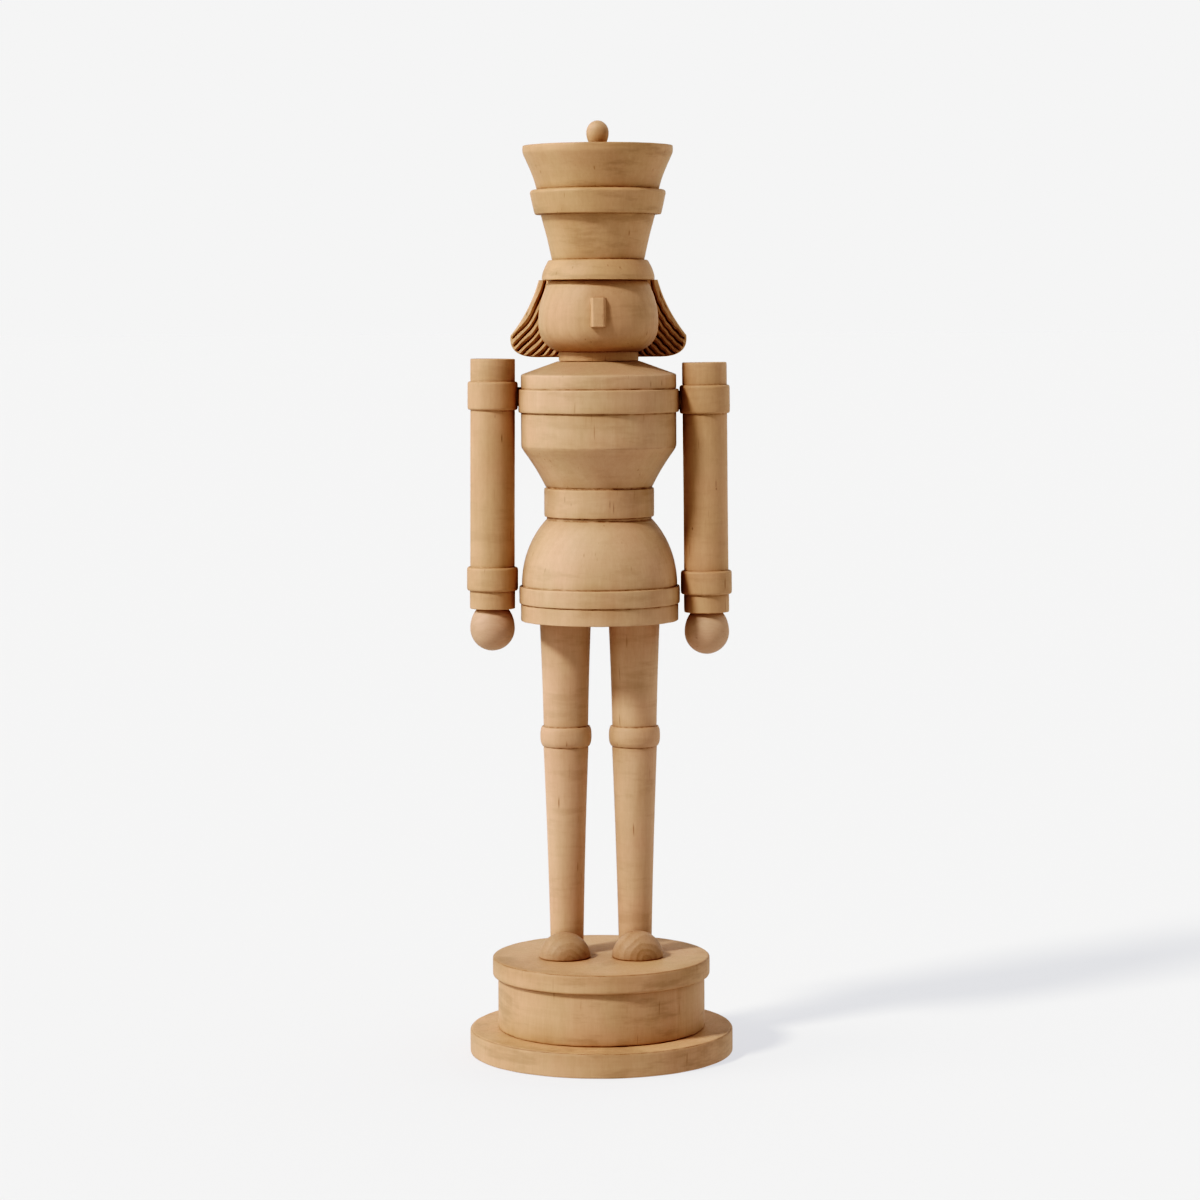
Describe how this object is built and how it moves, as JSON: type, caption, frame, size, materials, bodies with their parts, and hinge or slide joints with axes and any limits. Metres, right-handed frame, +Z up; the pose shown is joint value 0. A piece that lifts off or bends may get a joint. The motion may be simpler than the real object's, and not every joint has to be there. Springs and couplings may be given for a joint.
{
  "type": "turned wooden toy soldier figure",
  "caption": "Standing nutcracker-style soldier turned in bare wood, with a tall hat, carved hair and arms that swing on shoulder pegs, on a round stepped base.",
  "frame": {"origin": "on the ground at the centre of the round base plate", "axes": "+Z up the figure; the figure faces -Y and its own left is at +X"},
  "size_m": [0.0852, 0.0852, 0.3],
  "materials": {
    "body_wood": "bare, sanded, matt, light tan with faint vertical grain",
    "limb_wood": "bare, sanded, matt, a little browner, with short dark pores along the grain",
    "hair_wood": "bare, carved and rough, brown, with darker grooves",
    "bead_wood": "bare, sanded, matt, with growth rings showing on the rounded ends",
    "peg_wood": "plain dowel rod, pale and smooth"
  },
  "bodies": {
    "figure": {"base_plate": "body_wood", "base_drum": "body_wood", "base_peg": "peg_wood", "shoe_left": "bead_wood", "shoe_right": "bead_wood", "ankle_peg_left": "peg_wood", "ankle_peg_right": "peg_wood", "leg_left": "limb_wood", "leg_right": "limb_wood", "hip_peg_left": "peg_wood", "hip_peg_right": "peg_wood", "torso": "body_wood", "shoulder_peg_left": "peg_wood", "shoulder_peg_right": "peg_wood", "neck_peg": "peg_wood", "head": "body_wood", "nose": "body_wood", "hair": "hair_wood", "hat_peg": "peg_wood", "hat": "body_wood", "finial_peg": "peg_wood", "finial": "body_wood"},
    "left_arm": {"arm_left": "limb_wood", "wrist_peg_left": "peg_wood", "hand_left": "bead_wood"},
    "right_arm": {"arm_right": "limb_wood", "wrist_peg_right": "peg_wood", "hand_right": "bead_wood"}
  },
  "joints": [
    {"name": "left_shoulder", "type": "hinge", "parent": "figure", "child": "left_arm", "pos_m": [0.03395, 0, 0.211], "axis": [-1, 0, 0], "range_deg": [-115, 180]},
    {"name": "right_shoulder", "type": "hinge", "parent": "figure", "child": "right_arm", "pos_m": [-0.03395, 0, 0.2124], "axis": [-1, 0, 0], "range_deg": [-115, 180]}
  ]
}
